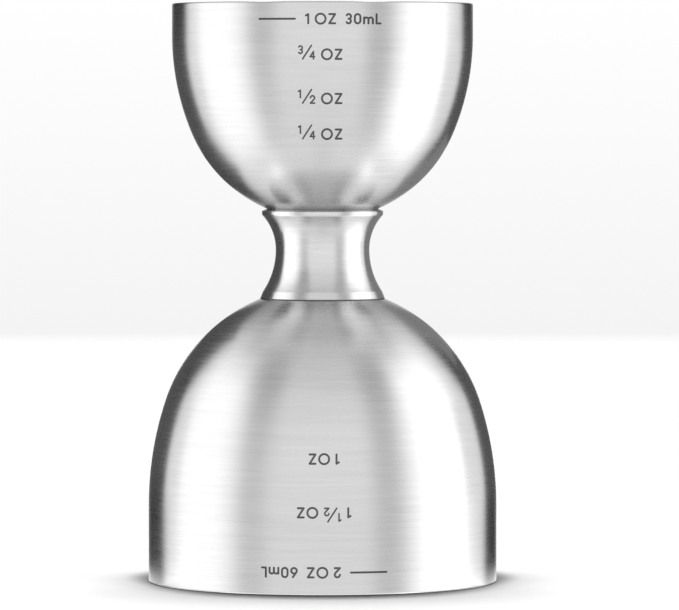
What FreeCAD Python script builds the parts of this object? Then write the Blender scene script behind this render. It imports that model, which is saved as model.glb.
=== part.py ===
"""Bar jigger: two bell-shaped steel measuring cups, joined back to back by a hollow collar.

Row frame, in millimetres: +Z is the axis, Z = 0 is the rim of the large cup, -Y is the marked front.
Each cup is drawn in its own frame, mouth down with its rim at Z = 0, and is then put in place.
"""

import FreeCAD
import Part
import math
import os

import Sketcher

Vec = FreeCAD.Vector
FLUID_OUNCE = 29.5735  # millilitres
X_AXIS, Y_AXIS, ORIGIN_POINT = -1, -2, (-1, 1)  # a sketch's own axes and origin
START, END, CENTRE = 1, 2, 3

# alias, value in millimetres or degrees, what it is
SIZES = [
    ("overall_height", 83.8, "rim to rim"),
    ("cup_wall", 1.0, "sheet thickness of both cups"),
    ("rim_round", 0.28, "edge rounding on both sides of a rim"),
    ("large_rim_radius", 25.25, "outside of the large cup's straight band"),
    ("large_band", 11.0, "height of that band"),
    ("large_shoulder_radius", 49.0, "outside arc between the band and the bowl"),
    ("large_shoulder_angle", 18.1, "angle that arc turns through"),
    ("small_rim_radius", 21.8, "outside of the small cup's straight band"),
    ("small_band", 4.7, "height of that band"),
    ("small_shoulder_radius", 36.5, "outside arc between the band and the bowl"),
    ("small_shoulder_angle", 22.5, "angle that arc turns through"),
    ("line_radius", 0.11, "section radius of the level lines cut inside the cups"),
    ("mark_depth", 0.12, "depth of the engraved volume marks"),
    ("waist_height", 48.15, "height of the collar's narrowest point"),
    ("waist_radius", 6.8, "outside radius there"),
    ("collar_wall", 1.4, "collar's wall thickness"),
    ("foot_sweep_radius", 10.7, "outside arc that flares from the waist towards the foot"),
    ("foot_sweep_angle", 33.5, "angle that arc turns through"),
    ("foot_bend_radius", 1.0, "outside arc between that flare and the steeper flange below it"),
    ("foot_flange_slope", 21.5, "angle between the straight flange of the foot and the axis"),
    ("foot_round", 0.12, "edge rounding of the foot"),
    ("top_sweep_radius", 7.3, "outside arc that flares from the waist to the top lip"),
    ("top_sweep_angle", 42.0, "angle that arc turns through"),
    ("top_bend_radius", 0.5, "outside arc that brings the top lip upright again"),
    ("top_lip_height", 0.4, "height of the top lip's upright edge"),
    ("top_lip_slope", 23.0, "angle at which the lip's upper face rises to the small cup"),
    ("top_lip_round", 0.15, "edge rounding of the top lip"),
    ("bead_radius", 0.85, "section radius of the brazing beads inside the collar"),
    ("foot_bead_ring", 7.25, "distance of the lower bead's centre from the axis"),
    ("foot_bead_height", 41.95, "height of the lower bead's centre"),
    ("top_bead_ring", 7.2, "distance of the upper bead's centre from the axis"),
    ("top_bead_height", 53.3, "height of the upper bead's centre"),
]
SIZE = {alias: value for alias, value, _ in SIZES}

# Inside level lines, in fluid ounces. The brim is each cup's full measure.
LEVELS = {"large": [1.0, 1.5], "small": [0.25, 0.5, 0.75]}

# Engraved rows, as text and how far the middle of their capitals lies from the rim
MARKS = {
    "large": [("_  2 OZ  60mL", 3.19), ("1 ½ OZ", 11.65), ("1 OZ", 19.2)],
    "small": [("_  1 OZ  30mL", 2.5), ("¾ OZ", 7.52), ("½ OZ", 13.76), ("¼ OZ", 18.8)],
}
MARK_SHIFT = 0.3  # how far each row stands to the left, as it is read
CAPITAL = 1.3  # height of the capitals, between the middles of their strokes
# As shares of the capitals' height
STROKE = 0.22
LETTER_GAP = 0.4
SPACE = 0.4  # what a space adds to the gap

# Letters one unit high, as width and strokes: ("line", x0, y0, x1, y1) or, with its centre, radius and
# two angles in degrees, ("arc", x, y, radius, first, last)
GLYPHS = {
    "0": (0.60, [("arc", 0.3, 0.7, 0.3, 0, 180), ("line", 0, 0.7, 0, 0.3), ("arc", 0.3, 0.3, 0.3, 180, 360),
                 ("line", 0.6, 0.3, 0.6, 0.7)]),
    "1": (0.25, [("line", 0.25, 0, 0.25, 1), ("line", 0, 0.85, 0.25, 1)]),
    "2": (0.56, [("arc", 0.28, 0.72, 0.28, -40, 180), ("line", 0.494, 0.54, 0, 0),
                 ("line", 0, 0, 0.56, 0)]),
    "3": (0.54, [("arc", 0.27, 0.75, 0.25, -90, 150), ("arc", 0.26, 0.25, 0.25, -150, 90)]),
    "4": (0.60, [("line", 0.45, 0, 0.45, 1), ("line", 0.45, 1, 0, 0.3), ("line", 0, 0.3, 0.6, 0.3)]),
    "6": (0.60, [("arc", 0.3, 0.3, 0.3, 0, 360), ("line", 0.04, 0.45, 0.42, 1)]),
    "O": (1.08, [("arc", 0.54, 0.5, 0.54, 0, 360)]),
    "Z": (0.64, [("line", 0, 1, 0.64, 1), ("line", 0.64, 1, 0, 0), ("line", 0, 0, 0.64, 0)]),
    "m": (0.96, [("line", 0, 0, 0, 0.64), ("arc", 0.24, 0.4, 0.24, 0, 180), ("line", 0.48, 0.4, 0.48, 0),
                 ("arc", 0.72, 0.4, 0.24, 0, 180), ("line", 0.96, 0.4, 0.96, 0)]),
    "L": (0.42, [("line", 0, 0, 0, 1), ("line", 0, 0, 0.42, 0)]),
    "_": (3.85, [("line", 0, 0.5, 3.85, 0.5)]),
    "/": (1.20, [("line", 0, 0, 1.2, 1.84)]),
}
# Fractions: two smaller digits, one high before the sloping bar and one on the line after it
FRACTIONS = {"¼": ("1", "4"), "½": ("1", "2"), "¾": ("3", "4")}
FRACTION_SCALE = 0.8
FRACTION_WIDTH = 1.75
FRACTION_RAISE = 0.6
FRACTION_BAR = 0.45  # where the sloping bar starts


doc = FreeCAD.newDocument("bar_jigger")


# ---- sheet of driving dimensions ----

def make_sheet():
    sheet = doc.addObject("Spreadsheet::Sheet", "Dims")
    for row, (alias, value, meaning) in enumerate(SIZES, start=1):
        sheet.set(f"A{row}", meaning)
        sheet.set(f"B{row}", str(value))
        sheet.setAlias(f"B{row}", alias)
    doc.recompute()
    return sheet


def bind(thing, path, expression):
    thing.setExpression(path, expression)


# ---- the bell shape ----

def bell_sizes(cup, inset=0.0):
    """A bell's rim radius, band height, shoulder radius and angle, bowl radius and centre, moved in."""
    rim = SIZE[f"{cup}_rim_radius"]
    band = SIZE[f"{cup}_band"]
    shoulder = SIZE[f"{cup}_shoulder_radius"]
    angle = math.radians(SIZE[f"{cup}_shoulder_angle"])
    centres_apart = (shoulder - rim) / math.cos(angle)
    bowl_centre = band + centres_apart * math.sin(angle)
    return rim - inset, band, shoulder - inset, angle, shoulder - centres_apart - inset, bowl_centre


def bell_radius(cup, height, inset=0.0):
    """Radius of the bell at a height above its rim."""
    rim, band, shoulder, angle, bowl, bowl_centre = bell_sizes(cup, inset)
    if height <= band:
        return rim
    if height <= bowl_centre + bowl * math.sin(angle):
        return rim - shoulder + math.sqrt(shoulder**2 - (height - band) ** 2)
    return math.sqrt(max(bowl**2 - (height - bowl_centre) ** 2, 0.0))


def content(cup, height, slices=600):
    """Millilitres between a level and the cup's inside bottom."""
    inset = SIZE["cup_wall"]
    bowl, bowl_centre = bell_sizes(cup, inset)[4:]
    step = (bowl_centre + bowl - height) / slices
    middles = [height + step * (i + 0.5) for i in range(slices)]
    return sum(math.pi * bell_radius(cup, z, inset) ** 2 for z in middles) * step / 1000


def level_height(cup, millilitres):
    """Distance from the rim to the level at which the cup holds this much."""
    low, high = 0.0, sum(bell_sizes(cup, SIZE["cup_wall"])[4:])
    for _ in range(40):
        middle = (low + high) / 2
        if content(cup, middle) > millilitres:
            low = middle
        else:
            high = middle
    return low


# ---- sketches ----

def sketch_in(body, name):
    """A sketch on the body's own XZ plane: sketch X is the radius, sketch Y is the height."""
    sketch = body.newObject("Sketcher::SketchObject", name)
    plane = next(f for f in body.Origin.OriginFeatures if f.Role == "XZ_Plane")
    sketch.AttachmentSupport = [(plane, "")]
    sketch.MapMode = "FlatFace"
    return sketch


def point(x, y):
    return Vec(x, y, 0)


def segment(x0, y0, x1, y1):
    return Part.LineSegment(point(x0, y0), point(x1, y1))


def arc(x, y, radius, start, end):
    """Counter-clockwise arc, its angles in radians."""
    return Part.ArcOfCircle(Part.Circle(point(x, y), Vec(0, 0, 1), radius), start, end)


def constrain(sketch, kind, *where):
    return sketch.addConstraint(Sketcher.Constraint(kind, *where))


def dimension(sketch, name, expression, kind, *where):
    """A named dimension whose value comes from the sheet."""
    index = constrain(sketch, kind, *where)
    sketch.renameConstraint(index, name)
    bind(sketch, f"Constraints.{name}", expression)


def bell_sketch(body, name, cup, inset_alias=None):
    """Closed half-section of a bell, with its outside moved in by one of the sheet's sizes."""
    inset = SIZE[inset_alias] if inset_alias else 0.0
    moved_in = f" - Dims.{inset_alias}" if inset_alias else ""
    rim, band, shoulder, angle, bowl, bowl_centre = bell_sizes(cup, inset)
    sketch = sketch_in(body, name)
    wall = sketch.addGeometry(segment(rim, 0, rim, band))
    turn = sketch.addGeometry(arc(rim - shoulder, band, shoulder, 0, angle))
    cap = sketch.addGeometry(arc(0, bowl_centre, bowl, angle, math.pi / 2))
    axis = sketch.addGeometry(segment(0, bowl_centre + bowl, 0, 0))
    mouth = sketch.addGeometry(segment(0, 0, rim, 0))
    constrain(sketch, "Tangent", wall, END, turn, START)
    constrain(sketch, "Tangent", turn, END, cap, START)
    constrain(sketch, "Coincident", cap, END, axis, START)
    constrain(sketch, "Coincident", axis, END, mouth, START)
    constrain(sketch, "Coincident", mouth, END, wall, START)
    constrain(sketch, "Coincident", axis, END, *ORIGIN_POINT)
    constrain(sketch, "PointOnObject", axis, START, Y_AXIS)
    constrain(sketch, "PointOnObject", cap, CENTRE, Y_AXIS)
    constrain(sketch, "Vertical", wall)
    constrain(sketch, "Horizontal", mouth)
    dimension(sketch, "rim", f"Dims.{cup}_rim_radius{moved_in}", "DistanceX", mouth, START, mouth, END, rim)
    dimension(sketch, "band", f"Dims.{cup}_band", "DistanceY", wall, START, wall, END, band)
    dimension(sketch, "shoulder", f"Dims.{cup}_shoulder_radius{moved_in}", "Radius", turn, shoulder)
    dimension(sketch, "turn", f"Dims.{cup}_shoulder_angle * 1 deg", "Angle", turn, angle)
    return sketch


def turned(body, name, kind, sketch):
    """Revolution or Groove of a sketch, a full turn about its upright axis."""
    feature = body.newObject(f"PartDesign::{kind}", name)
    feature.Profile = sketch
    feature.ReferenceAxis = (sketch, ["V_Axis"])
    feature.Angle = 360
    doc.recompute()
    return feature


def rounded(body, name, feature, radius_alias, wanted):
    """Fillet on the edges for which wanted(edge) holds."""
    edges = [f"Edge{i}" for i, edge in enumerate(feature.Shape.Edges, start=1) if wanted(edge)]
    fillet = body.newObject("PartDesign::Fillet", name)
    fillet.Base = (feature, edges)
    bind(fillet, "Radius", f"Dims.{radius_alias}")
    doc.recompute()
    return fillet


def bell_form(name, cup, inset_alias=None):
    """The filled bell, whose surface other pieces are cut to."""
    body = doc.addObject("PartDesign::Body", name)
    turned(body, f"{name}_turned", "Revolution", bell_sketch(body, f"{name}_section", cup, inset_alias))
    return body


def circle_edge_at(radius, height):
    """Test for a full-circle edge of this radius at this height."""
    def wanted(edge):
        box = edge.BoundBox
        return (len(edge.Vertexes) == 1 and abs(box.ZMin - height) < 1e-4 and abs(box.ZMax - height) < 1e-4
                and abs(box.XMax - radius) < 1e-3)
    return wanted


def level_lines(body, cup):
    """Hairline rings cut into the inside wall at the measured levels."""
    sketch = sketch_in(body, f"{cup}_lines")
    for number, ounces in enumerate(LEVELS[cup], start=1):
        height = level_height(cup, ounces * FLUID_OUNCE)
        radius = bell_radius(cup, height, SIZE["cup_wall"])
        ring = sketch.addGeometry(Part.Circle(point(radius, height), Vec(0, 0, 1), SIZE["line_radius"]))
        constrain(sketch, "DistanceX", *ORIGIN_POINT, ring, CENTRE, radius)
        constrain(sketch, "DistanceY", *ORIGIN_POINT, ring, CENTRE, height)
        dimension(sketch, f"line{number}", "Dims.line_radius", "Radius", ring, SIZE["line_radius"])
    turned(body, f"{cup}_line_cut", "Groove", sketch)


def drawn_cup(name, cup):
    """The plain cup: bell, cavity, rounded rim and inside level lines."""
    body = doc.addObject("PartDesign::Body", name)
    turned(body, f"{cup}_outside", "Revolution", bell_sketch(body, f"{cup}_outer_section", cup))
    inner_section = bell_sketch(body, f"{cup}_inner_section", cup, "cup_wall")
    cavity = turned(body, f"{cup}_cavity", "Groove", inner_section)
    outer = SIZE[f"{cup}_rim_radius"]
    inner = outer - SIZE["cup_wall"]
    on_rim = [circle_edge_at(outer, 0.0), circle_edge_at(inner, 0.0)]
    rounded(body, f"{cup}_rim", cavity, "rim_round", lambda edge: any(test(edge) for test in on_rim))
    level_lines(body, cup)
    return body


# ---- engraved marks ----

def stadium(x0, y0, x1, y1, width):
    """Straight stroke with round ends, flat in the XZ plane."""
    start, end, half = Vec(x0, 0, y0), Vec(x1, 0, y1), width / 2
    along = (end - start).normalize()
    side = Vec(-along.z, 0, along.x) * half
    edges = [
        Part.LineSegment(start - side, end - side).toShape(),
        Part.Arc(end - side, end + along * half, end + side).toShape(),
        Part.LineSegment(end + side, start + side).toShape(),
        Part.Arc(start + side, start - along * half, start - side).toShape(),
    ]
    return Part.Face(Part.Wire(edges))


def bent_stroke(x, y, radius, first, last, width):
    """Round stroke with round ends, flat in the XZ plane, or a whole ring."""
    centre, half = Vec(x, 0, y), width / 2
    normal = Vec(0, -1, 0)  # a turn about it is counter-clockwise as seen from the front
    if last - first >= 360:
        outer, inner = (Part.Wire(Part.Circle(centre, normal, radius + d).toShape()) for d in (half, -half))
        return Part.Face(outer).cut(Part.Face(inner))

    def at(distance, degrees):
        turn = math.radians(degrees)
        return centre + Vec(math.cos(turn), 0, math.sin(turn)) * distance

    def past(degrees, way):
        turn = math.radians(degrees)
        return at(radius, degrees) + Vec(-math.sin(turn), 0, math.cos(turn)) * (half * way)

    middle = (first + last) / 2
    outside, inside = radius + half, radius - half
    edges = [
        Part.Arc(at(outside, first), at(outside, middle), at(outside, last)).toShape(),
        Part.Arc(at(outside, last), past(last, 1), at(inside, last)).toShape(),
        Part.Arc(at(inside, last), at(inside, middle), at(inside, first)).toShape(),
        Part.Arc(at(inside, first), past(first, -1), at(outside, first)).toShape(),
    ]
    return Part.Face(Part.Wire(edges))


DRAW = {"line": stadium, "arc": bent_stroke}


def glyph_strokes(letter, x, y, scale=1.0):
    """Strokes of one letter with its lower left corner at x, y, in shares of the capitals' height."""
    x, y, scale = x * CAPITAL, y * CAPITAL, scale * CAPITAL
    found = []
    for kind, *numbers in GLYPHS[letter][1]:
        if kind == "line":
            x0, y0, x1, y1 = (n * scale for n in numbers)
            found.append(("line", x + x0, y + y0, x + x1, y + y1, STROKE * scale))
        else:
            cx, cy, radius, first, last = numbers
            centre_x, centre_y = x + cx * scale, y + cy * scale
            found.append(("arc", centre_x, centre_y, radius * scale, first, last, STROKE * scale))
    return found


def row_strokes(text):
    """A row's strokes, grouped by sign, from its lower left corner on, and the row's width."""
    groups, x = [], 0.0
    for letter in text:
        if letter == " ":
            x += SPACE
        elif letter in FRACTIONS:
            upper, lower = FRACTIONS[letter]
            groups.append(glyph_strokes(upper, x, FRACTION_RAISE, FRACTION_SCALE))
            groups.append(glyph_strokes("/", x + FRACTION_BAR, 0, FRACTION_SCALE))
            lower_x = x + FRACTION_WIDTH - GLYPHS[lower][0] * FRACTION_SCALE
            groups.append(glyph_strokes(lower, lower_x, 0, FRACTION_SCALE))
            x += FRACTION_WIDTH + LETTER_GAP
        else:
            groups.append(glyph_strokes(letter, x, 0))
            x += GLYPHS[letter][0] + LETTER_GAP
    return groups, (x - LETTER_GAP) * CAPITAL


def mark_faces(cup):
    """Flat outlines of all the marks of a cup in the cup's own frame, where the signs are upside down."""
    faces = []
    for text, depth in MARKS[cup]:
        groups, width = row_strokes(text)
        start = Vec(width / 2 + MARK_SHIFT, 0, depth + CAPITAL / 2)
        turn = FreeCAD.Placement(start, FreeCAD.Rotation(Vec(0, 1, 0), 180))
        for strokes in groups:
            pieces = [DRAW[kind](*numbers) for kind, *numbers in strokes]
            sign = pieces[0].fuse(pieces[1:]).removeSplitter() if len(pieces) > 1 else pieces[0]
            for face in sign.Faces:
                face.Placement = turn.multiply(face.Placement)
                faces.append(face)
    return Part.Compound(faces)


def cut(name, base, tool):
    feature = doc.addObject("Part::Cut", name)
    feature.Base = base
    feature.Tool = tool
    doc.recompute()
    return feature


def engraved_cup(node, cup, plain):
    """The cup with its marks cut to an even depth below its outside."""
    outline = doc.addObject("Part::Feature", f"{cup}_mark_outlines")
    outline.Shape = mark_faces(cup)
    prisms = doc.addObject("Part::Extrusion", f"{cup}_mark_prisms")
    prisms.Base = outline
    prisms.DirMode = "Custom"
    prisms.Dir = Vec(0, -1, 0)
    prisms.Solid = True
    bind(prisms, "LengthFwd", f"Dims.{cup}_rim_radius + Dims.cup_wall")
    floor = bell_form(f"{cup}_mark_floor", cup, "mark_depth")
    return cut(node, plain, cut(f"{cup}_engraving", prisms, floor))


# ---- collar ----

def run_to_circle(x, y, heading, centre_x, centre_y, radius):
    """Length of a straight line from a point, at a heading from the x axis, to the circle it meets."""
    across, up = x - centre_x, y - centre_y
    along = across * math.cos(heading) + up * math.sin(heading)
    outside = across**2 + up**2 - radius**2
    return -along - math.copysign(math.sqrt(along**2 - outside), outside)


def collar_blank(name):
    """The spool-shaped collar before its ends are cut to the cups. Its origin is the waist's centre."""
    waist, wall = SIZE["waist_radius"], SIZE["collar_wall"]
    foot, foot_angle = SIZE["foot_sweep_radius"], math.radians(SIZE["foot_sweep_angle"])
    top, top_angle = SIZE["top_sweep_radius"], math.radians(SIZE["top_sweep_angle"])
    foot_bend, top_bend = SIZE["foot_bend_radius"], SIZE["top_bend_radius"]
    flange, slope = math.radians(SIZE["foot_flange_slope"]), math.radians(SIZE["top_lip_slope"])
    # a bend's centre lies on the line from its sweep's centre through the point where they meet
    foot_bend_r = waist + foot - (foot + foot_bend) * math.cos(foot_angle)
    foot_bend_z = -(foot + foot_bend) * math.sin(foot_angle)
    top_bend_r = waist + top - (top + top_bend) * math.cos(top_angle)
    top_z = (top + top_bend) * math.sin(top_angle)
    top_r = top_bend_r + top_bend
    tip_z = top_z + SIZE["top_lip_height"]
    # the flange runs straight on to the large cup's bowl
    flange_r = foot_bend_r + foot_bend * math.cos(flange)
    flange_z = foot_bend_z + foot_bend * math.sin(flange)
    bowl, bowl_centre = bell_sizes("large")[4:]
    bowl_z = bowl_centre - SIZE["waist_height"]
    flange_length = run_to_circle(flange_r, flange_z, flange - math.pi / 2, 0, bowl_z, bowl)
    foot_r = flange_r + flange_length * math.sin(flange)
    seat_z = flange_z - flange_length * math.cos(flange)
    # the inner sweeps share the outer ones' centres; one ends level with the foot, one at the lip's face
    foot_in, top_in = foot + wall, top + wall
    foot_in_angle = math.asin(-seat_z / foot_in)
    foot_in_r = waist + foot - foot_in * math.cos(foot_in_angle)
    face_length = run_to_circle(top_r, tip_z, math.pi - slope, waist + top, 0, top_in)
    top_in_r, top_in_z = top_r - face_length * math.cos(slope), tip_z + face_length * math.sin(slope)
    top_in_angle = math.asin(top_in_z / top_in)

    body = doc.addObject("PartDesign::Body", name)
    sketch = sketch_in(body, f"{name}_section")
    foot_edge = sketch.addGeometry(segment(foot_r, seat_z, flange_r, flange_z))
    foot_turn = sketch.addGeometry(arc(foot_bend_r, foot_bend_z, foot_bend, flange, foot_angle))
    foot_arc = sketch.addGeometry(arc(waist + foot, 0, foot, math.pi, math.pi + foot_angle))
    top_arc = sketch.addGeometry(arc(waist + top, 0, top, math.pi - top_angle, math.pi))
    top_turn = sketch.addGeometry(arc(top_bend_r, top_z, top_bend, -top_angle, 0))
    top_edge = sketch.addGeometry(segment(top_r, top_z, top_r, tip_z))
    top_face = sketch.addGeometry(segment(top_r, tip_z, top_in_r, top_in_z))
    top_inner = sketch.addGeometry(arc(waist + top, 0, top_in, math.pi - top_in_angle, math.pi))
    foot_inner = sketch.addGeometry(arc(waist + foot, 0, foot_in, math.pi, math.pi + foot_in_angle))
    foot_face = sketch.addGeometry(segment(foot_in_r, seat_z, foot_r, seat_z))
    constrain(sketch, "Coincident", foot_face, END, foot_edge, START)
    constrain(sketch, "Tangent", foot_edge, END, foot_turn, START)
    constrain(sketch, "Tangent", foot_turn, END, foot_arc, END)
    constrain(sketch, "Coincident", foot_arc, START, top_arc, END)
    constrain(sketch, "Tangent", top_arc, START, top_turn, START)
    constrain(sketch, "Tangent", top_turn, END, top_edge, START)
    constrain(sketch, "Coincident", top_edge, END, top_face, START)
    constrain(sketch, "Coincident", top_face, END, top_inner, START)
    constrain(sketch, "Coincident", top_inner, END, foot_inner, START)
    constrain(sketch, "Coincident", foot_inner, END, foot_face, START)
    constrain(sketch, "Vertical", top_edge)
    constrain(sketch, "Horizontal", foot_face)
    constrain(sketch, "Coincident", foot_inner, CENTRE, foot_arc, CENTRE)
    constrain(sketch, "Coincident", top_inner, CENTRE, top_arc, CENTRE)
    for centre in (foot_arc, top_arc):
        constrain(sketch, "PointOnObject", centre, CENTRE, X_AXIS)
    constrain(sketch, "PointOnObject", foot_arc, START, X_AXIS)
    constrain(sketch, "PointOnObject", foot_inner, START, X_AXIS)
    dimension(sketch, "waist", "Dims.waist_radius", "DistanceX", *ORIGIN_POINT, foot_arc, START, waist)
    dimension(sketch, "wall", "Dims.collar_wall", "DistanceX", foot_inner, START, foot_arc, START, wall)
    for end, sweep, turn in (("foot", foot_arc, foot_turn), ("top", top_arc, top_turn)):
        radius, angle = SIZE[f"{end}_sweep_radius"], math.radians(SIZE[f"{end}_sweep_angle"])
        bend = SIZE[f"{end}_bend_radius"]
        dimension(sketch, f"{end}_sweep", f"Dims.{end}_sweep_radius", "Radius", sweep, radius)
        dimension(sketch, f"{end}_angle", f"Dims.{end}_sweep_angle * 1 deg", "Angle", sweep, angle)
        dimension(sketch, f"{end}_bend", f"Dims.{end}_bend_radius", "Radius", turn, bend)
    dimension(sketch, "top_lip", "Dims.top_lip_height", "DistanceY", top_edge, START, top_edge, END,
              SIZE["top_lip_height"])
    constrain(sketch, "DistanceY", foot_edge, START, *ORIGIN_POINT, -seat_z)
    dimension(sketch, "flange", "90 deg + Dims.foot_flange_slope * 1 deg", "Angle", foot_edge,
              math.pi / 2 + flange)
    dimension(sketch, "lip_slope", "180 deg - Dims.top_lip_slope * 1 deg", "Angle", top_face,
              math.pi - slope)
    blank = turned(body, f"{name}_turned", "Revolution", sketch)
    foot_done = rounded(body, f"{name}_foot_edge", blank, "foot_round", circle_edge_at(foot_r, seat_z))
    rounded(body, f"{name}_top_lip", foot_done, "top_lip_round", circle_edge_at(top_r, tip_z))
    bind(body, ".Placement.Base.z", "Dims.waist_height")
    doc.recompute()
    return body


def bead_ring(name, end, cup_form, collar):
    """Brazing filler in the corner between a cup's bottom and the collar's inside."""
    wire = doc.addObject("Part::Torus", f"{end}_bead_wire")
    bind(wire, "Radius1", f"Dims.{end}_bead_ring")
    bind(wire, "Radius2", "Dims.bead_radius")
    bind(wire, ".Placement.Base.z", f"Dims.{end}_bead_height")
    doc.recompute()
    return cut(name, cut(f"{end}_bead_on_cup", wire, cup_form), collar)


# ---- assembly ----

def stand_on_top(thing):
    """Turns a cup or its form mouth up, with its rim at the overall height."""
    half_turn = FreeCAD.Rotation(Vec(0, 1, 0), 180)
    thing.Placement = FreeCAD.Placement(Vec(0, 0, SIZE["overall_height"]), half_turn)
    bind(thing, ".Placement.Base.z", "Dims.overall_height")
    doc.recompute()


def checked(parts):
    """Stops at any failed object or bad shape."""
    failed = [o.Name for o in doc.Objects if {"Invalid", "Error"} & set(o.State)]
    loose = [o.Name for o in doc.Objects if o.TypeId == "Sketcher::SketchObject" and not o.FullyConstrained]
    empty = [name for name, o in parts.items() if o.Shape.isNull() or not o.Shape.Solids]
    bad = empty or [name for name, o in parts.items() if not o.Shape.isValid()]
    if failed or loose or bad:
        raise RuntimeError(f"failed {failed}, not fully constrained {loose}, bad shapes {bad}")


make_sheet()
large_form = bell_form("large_form", "large")
small_form = bell_form("small_form", "small")
stand_on_top(small_form)

lower_cup = engraved_cup("lower_cup", "large", drawn_cup("large_plain_cup", "large"))
upper_cup = engraved_cup("upper_cup", "small", drawn_cup("small_plain_cup", "small"))
stand_on_top(upper_cup)

blank = collar_blank("collar_blank")
neck_collar = cut("neck_collar", cut("collar_on_large_cup", blank, large_form), small_form)
lower_bead = bead_ring("lower_brazing_ring", "foot", large_form, neck_collar)
upper_bead = bead_ring("upper_brazing_ring", "top", small_form, neck_collar)

parts = {o.Name: o for o in (lower_cup, upper_cup, neck_collar, lower_bead, upper_bead)}
for name, part in parts.items():
    part.Label = name
doc.recompute()
checked(parts)

os.makedirs("parts", exist_ok=True)
for name, part in parts.items():
    part.Shape.exportStep(f"parts/{name}.step")
    print(f"{name}: {len(part.Shape.Solids)} solid, {part.Shape.Volume:.1f} mm3")
for cup in LEVELS:
    print(f"{cup} cup holds {content(cup, 0.0):.1f} ml to the brim; level lines at",
          [round(level_height(cup, ounces * FLUID_OUNCE), 2) for ounces in LEVELS[cup]], "mm from its rim")
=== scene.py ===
import math

import bpy
import numpy as np
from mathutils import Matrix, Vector
from mathutils.geometry import delaunay_2d_cdt


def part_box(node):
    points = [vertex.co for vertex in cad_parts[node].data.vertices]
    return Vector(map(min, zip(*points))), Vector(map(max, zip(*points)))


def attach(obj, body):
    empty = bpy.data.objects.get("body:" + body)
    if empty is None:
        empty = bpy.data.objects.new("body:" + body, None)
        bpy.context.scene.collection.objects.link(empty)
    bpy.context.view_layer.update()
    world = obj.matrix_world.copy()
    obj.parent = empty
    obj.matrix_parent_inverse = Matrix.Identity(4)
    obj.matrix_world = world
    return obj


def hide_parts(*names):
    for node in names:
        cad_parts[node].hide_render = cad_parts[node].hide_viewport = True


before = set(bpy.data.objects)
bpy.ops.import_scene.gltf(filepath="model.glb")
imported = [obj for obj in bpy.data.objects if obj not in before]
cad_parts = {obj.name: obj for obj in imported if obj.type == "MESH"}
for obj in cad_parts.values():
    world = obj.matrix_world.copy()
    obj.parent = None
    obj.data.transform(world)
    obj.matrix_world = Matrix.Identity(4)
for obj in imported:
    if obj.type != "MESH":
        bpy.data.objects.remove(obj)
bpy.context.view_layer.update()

# The looks of the bar jigger: its steel pieces as fine turned surfaces, their marks cut into the surface, and
# a pale studio. Sections and marks are in millimetres, in a cup's own frame: mouth down, rim at height 0,
# marks towards -Y. A section's points come with the direction that faces out of the steel there.

MM = 0.001
FULL_TURN = 2 * math.pi
COLUMNS = 288  # facets around the axis
ROW_SPACING = 0.8  # along a section
FINE_SPACING = 0.05  # along small rounds and level lines
BEND_SPACING = 0.12  # along the collar's bends
COLLAR_SPACING = 0.3  # along its sweeps
LINE_STEP = 0.4  # along straight strokes of the marks
ARC_STEP = 12  # along their arcs, in degrees
CAP_STEPS = 6  # in the round end of a stroke
NEARLY_NONE = 1e-6  # a distance, or a part of a step, that counts as none
WELD = 1e-5  # points of the marks nearer than this are one

# ---- sizes ----

OVERALL_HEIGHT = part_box("upper_cup")[1].z / MM
WALL = 1.0
RIM_ROUND = 0.28
LINE_RADIUS = 0.11
MARK_DEPTH = 0.12

# The collar: arcs that flare from its waist, a bend at the end of each, the foot's straight flange, at an
# angle from the axis, and the top lip's upright edge under a sloping face
WAIST_HEIGHT = 48.15
WAIST_RADIUS = 6.8
COLLAR_WALL = 1.4
FOOT_SWEEP = 10.7
FOOT_TURN = math.radians(33.5)
FOOT_BEND = 1.0
FOOT_FLANGE = math.radians(21.5)
FOOT_ROUND = 0.12
TOP_SWEEP = 7.3
TOP_TURN = math.radians(42)
TOP_BEND = 0.5
TOP_LIP_HEIGHT = 0.4
TOP_LIP_SLOPE = math.radians(23)
TOP_LIP_ROUND = 0.15

# Depths below the rim of the inside level lines
LEVELS = {"large": (8.55, 16.61), "small": (6.11, 11.71, 18.05)}

# Engraved rows, as text and how far the middle of their capitals lies from the rim
MARKS = {
    "large": [("_  2 OZ  60mL", 3.19), ("1 ½ OZ", 11.65), ("1 OZ", 19.2)],
    "small": [("_  1 OZ  30mL", 2.5), ("¾ OZ", 7.52), ("½ OZ", 13.76), ("¼ OZ", 18.8)],
}
MARK_SHIFT = 0.3  # how far each row stands to the left, as it is read
CAPITAL = 1.3  # height of the capitals, between the middles of their strokes
# As shares of the capitals' height
STROKE = 0.22
LETTER_GAP = 0.4
SPACE = 0.4  # what a space adds to the gap

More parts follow.
